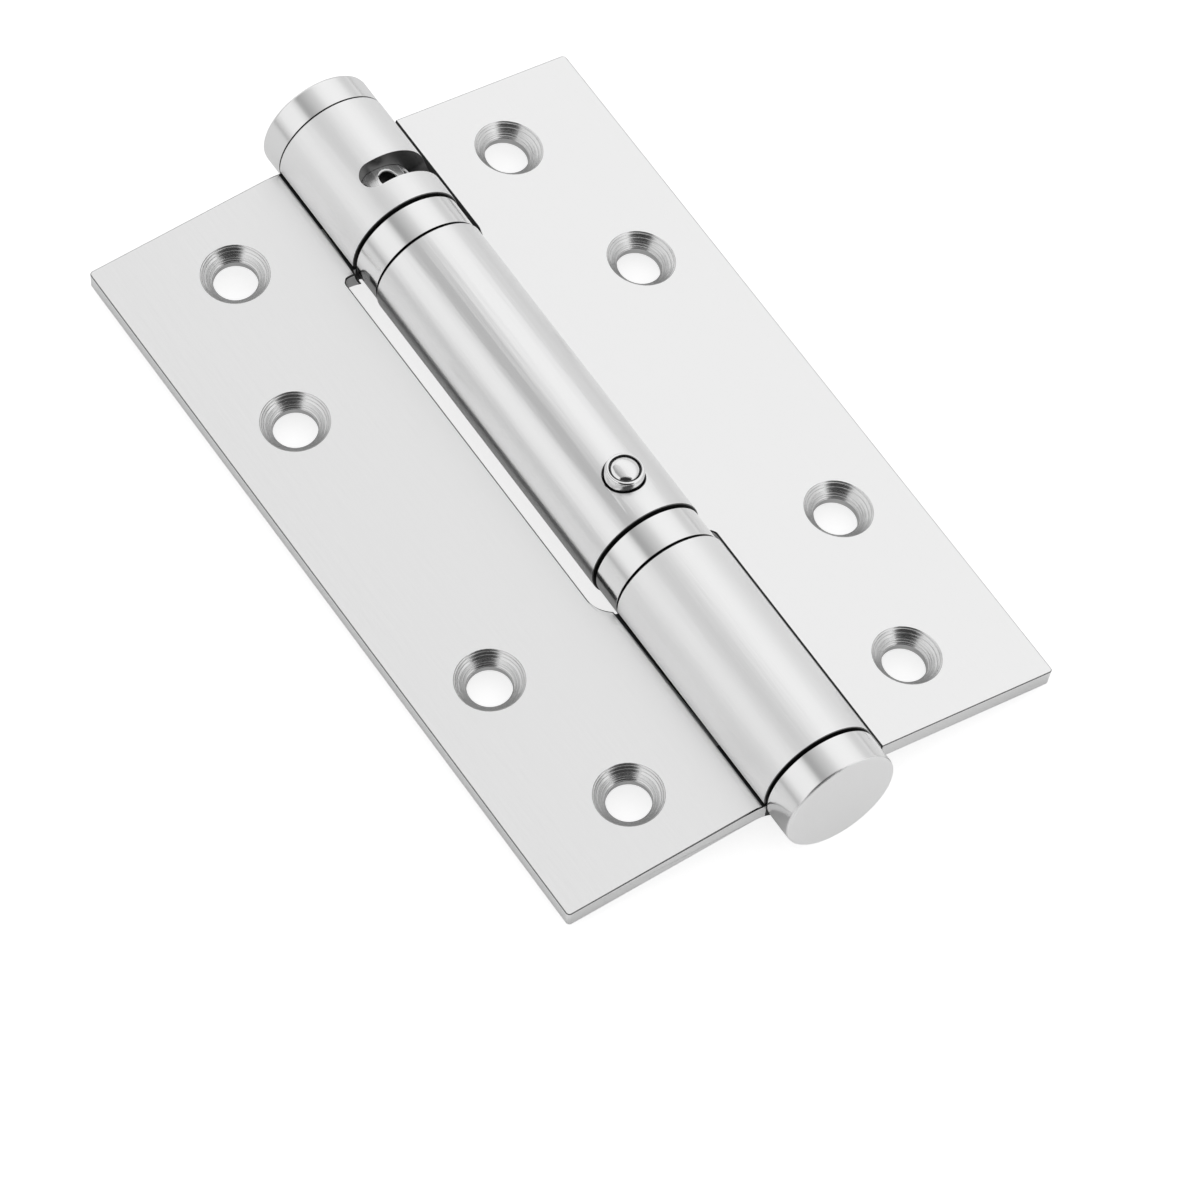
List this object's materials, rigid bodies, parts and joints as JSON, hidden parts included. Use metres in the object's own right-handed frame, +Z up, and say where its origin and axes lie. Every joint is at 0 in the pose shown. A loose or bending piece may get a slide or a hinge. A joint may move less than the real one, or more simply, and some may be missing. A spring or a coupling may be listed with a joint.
{
  "type": "spring hinge",
  "caption": "A single-acting spring hinge in satin stainless steel with countersunk leaves, a rolled barrel, turned rings and a winding collar behind a curved window",
  "frame": {"origin": "under the middle of the barrel, half-way between the outer faces of the two end caps, on the barrel's lowest line", "axes": "+X across the leaves towards the swinging leaf, +Y along the barrel towards the winding end, +Z up, out of the countersunk faces"},
  "size_m": [0.0826, 0.1376, 0.0198],
  "materials": {
    "satin": "satin",
    "turned": "satin",
    "polished": "gloss",
    "spring_steel": "satin",
    "washer": "matte"
  },
  "bodies": {
    "fixed": {"fixed_leaf": "satin", "top_cap": "turned", "bottom_cap": "turned", "lower_ring": "turned", "lower_washer": "washer"},
    "swing": {"swing_leaf": "satin", "upper_ring": "turned", "upper_washer": "washer", "anchor_plug": "turned", "anchor_stud": "polished", "pivot_pin": "turned", "torsion_spring": "spring_steel"},
    "winder": {"winding_spindle": "turned", "spring_driver": "turned"}
  },
  "joints": [
    {"name": "leaf_swing", "type": "hinge", "parent": "fixed", "child": "swing", "pos_m": [0, 0, 0.009], "axis": [0, -1, 0], "range_deg": [0, 191.6], "deforming": ["torsion_spring"]},
    {"name": "collar_wind", "type": "hinge", "parent": "fixed", "child": "winder", "pos_m": [0, 0.05, 0.009], "axis": [0, -1, 0], "range_deg": [0, 360], "deforming": ["torsion_spring"]}
  ]
}
